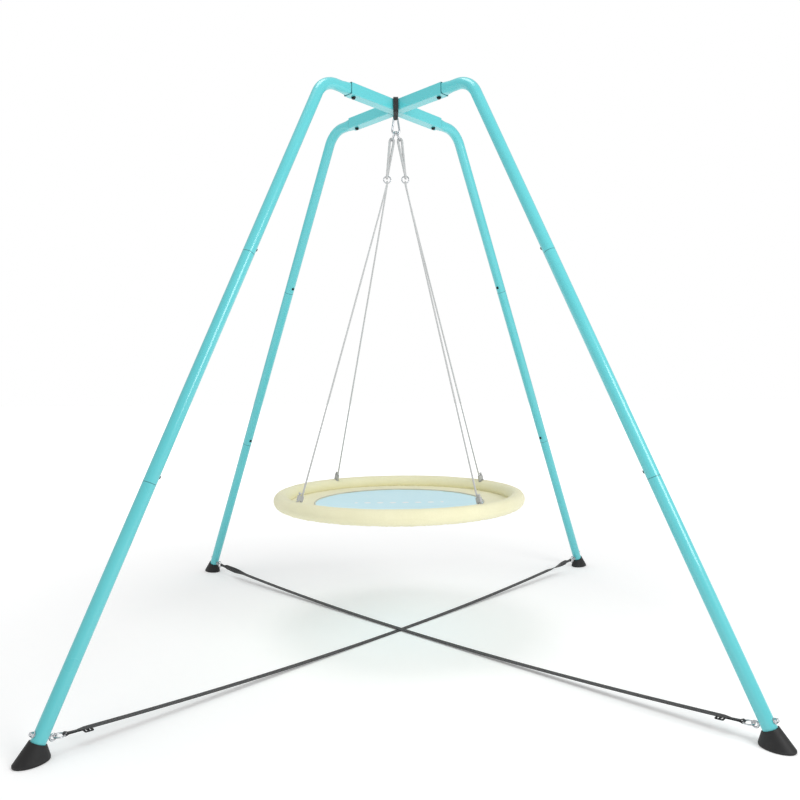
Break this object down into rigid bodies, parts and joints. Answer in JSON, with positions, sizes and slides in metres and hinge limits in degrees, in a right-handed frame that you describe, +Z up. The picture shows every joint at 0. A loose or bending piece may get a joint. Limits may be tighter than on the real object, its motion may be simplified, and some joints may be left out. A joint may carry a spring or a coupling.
{
  "type": "baby swing",
  "caption": "Indoor baby swing: a round cloth seat hung by ropes from a carabiner under a splayed tubular steel stand with webbing straps across the floor",
  "frame": {"origin": "on the floor, straight below the crossing of the hub's arms and the seat's centre", "axes": "+Z up; the front of the swing faces -Y and its left side is towards -X; the four legs stand on the diagonals"},
  "size_m": [2.1088, 2.1088, 2.1675],
  "materials": {
    "blue_frame_enamel": "glossy turquoise powder coat",
    "black_screws": "black oxide",
    "zinc_hardware": "bright zinc plate",
    "carabiner_alloy": "polished steel",
    "black_feet": "moulded rubber, matt",
    "black_webbing": "woven polyester strap",
    "black_plastic": "moulded",
    "grey_webbing": "tubular webbing",
    "grey_rope": "braided polyester rope",
    "grey_plastic": "moulded",
    "rim_steel": "galvanised",
    "rim_foam": "soft closed-cell foam",
    "yellow_cloth": "woven polyester cloth",
    "blue_cloth": "woven polyester cloth"
  },
  "bodies": {
    "stand": {"eye_bolt_cap_nuts": "zinc_hardware", "front_left_eye_bolt": "zinc_hardware", "front_left_floor_strap": "black_webbing", "front_left_foot": "black_feet", "front_left_lower_tube": "blue_frame_enamel", "front_left_middle_tube": "blue_frame_enamel", "front_left_strap_ring": "zinc_hardware", "front_left_upper_tube": "blue_frame_enamel", "front_right_eye_bolt": "zinc_hardware", "front_right_floor_strap": "black_webbing", "front_right_foot": "black_feet", "front_right_lower_tube": "blue_frame_enamel", "front_right_middle_tube": "blue_frame_enamel", "front_right_strap_ring": "zinc_hardware", "front_right_upper_tube": "blue_frame_enamel", "hub_bolts": "black_screws", "hub_cap_nuts": "zinc_hardware", "hub_half_tube_front_right": "blue_frame_enamel", "hub_half_tube_rear_left": "blue_frame_enamel", "hub_long_tube": "blue_frame_enamel", "leg_screws": "black_screws", "rear_left_eye_bolt": "zinc_hardware", "rear_left_foot": "black_feet", "rear_left_lower_tube": "blue_frame_enamel", "rear_left_middle_tube": "blue_frame_enamel", "rear_left_strap_ring": "zinc_hardware", "rear_left_upper_tube": "blue_frame_enamel", "rear_right_eye_bolt": "zinc_hardware", "rear_right_foot": "black_feet", "rear_right_lower_tube": "blue_frame_enamel", "rear_right_middle_tube": "blue_frame_enamel", "rear_right_strap_ring": "zinc_hardware", "rear_right_upper_tube": "blue_frame_enamel", "strap_sliders": "black_plastic"},
    "sling": {"hanging_sling": "black_webbing"},
    "carabiner": {"carabiner_hook": "carabiner_alloy", "carabiner_gate_pin": "zinc_hardware"},
    "gate": {"carabiner_gate": "carabiner_alloy", "carabiner_gate_spring": "zinc_hardware"},
    "seat": {"front_left_rim_tube": "rim_steel", "front_left_rope_adjuster": "grey_plastic", "front_right_rim_tube": "rim_steel", "front_right_rope_adjuster": "grey_plastic", "left_link_ring": "zinc_hardware", "left_rope": "grey_rope", "left_rope_ring": "zinc_hardware", "left_webbing_loop": "grey_webbing", "rear_left_rim_tube": "rim_steel", "rear_left_rope_adjuster": "grey_plastic", "rear_right_rim_tube": "rim_steel", "rear_right_rope_adjuster": "grey_plastic", "right_link_ring": "zinc_hardware", "right_rope": "grey_rope", "right_rope_ring": "zinc_hardware", "right_webbing_loop": "grey_webbing", "rim_snap_buttons": "zinc_hardware", "rim_foam_sleeves": "rim_foam", "rim_cover": "yellow_cloth", "seat_panel": "blue_cloth"}
  },
  "joints": [
    {"name": "sling_sway", "type": "hinge", "parent": "stand", "child": "sling", "pos_m": [0, 0, 2.136], "axis": [0, 1, 0], "range_deg": [-6, 6]},
    {"name": "swing", "type": "hinge", "parent": "sling", "child": "carabiner", "pos_m": [0, 0, 2.095], "axis": [1, 0, 0], "range_deg": [-25, 25]},
    {"name": "gate_hinge", "type": "hinge", "parent": "carabiner", "child": "gate", "pos_m": [0.00897, 0, 2.08373], "axis": [0, 1, 0], "range_deg": [0, 25], "stiffness_Nm_per_rad": 0.05, "springref_deg": -11.46},
    {"name": "seat_turn", "type": "hinge", "parent": "carabiner", "child": "seat", "pos_m": [0, 0, 2.036], "axis": [0, 0, 1], "range_deg": [-30, 30]}
  ]
}
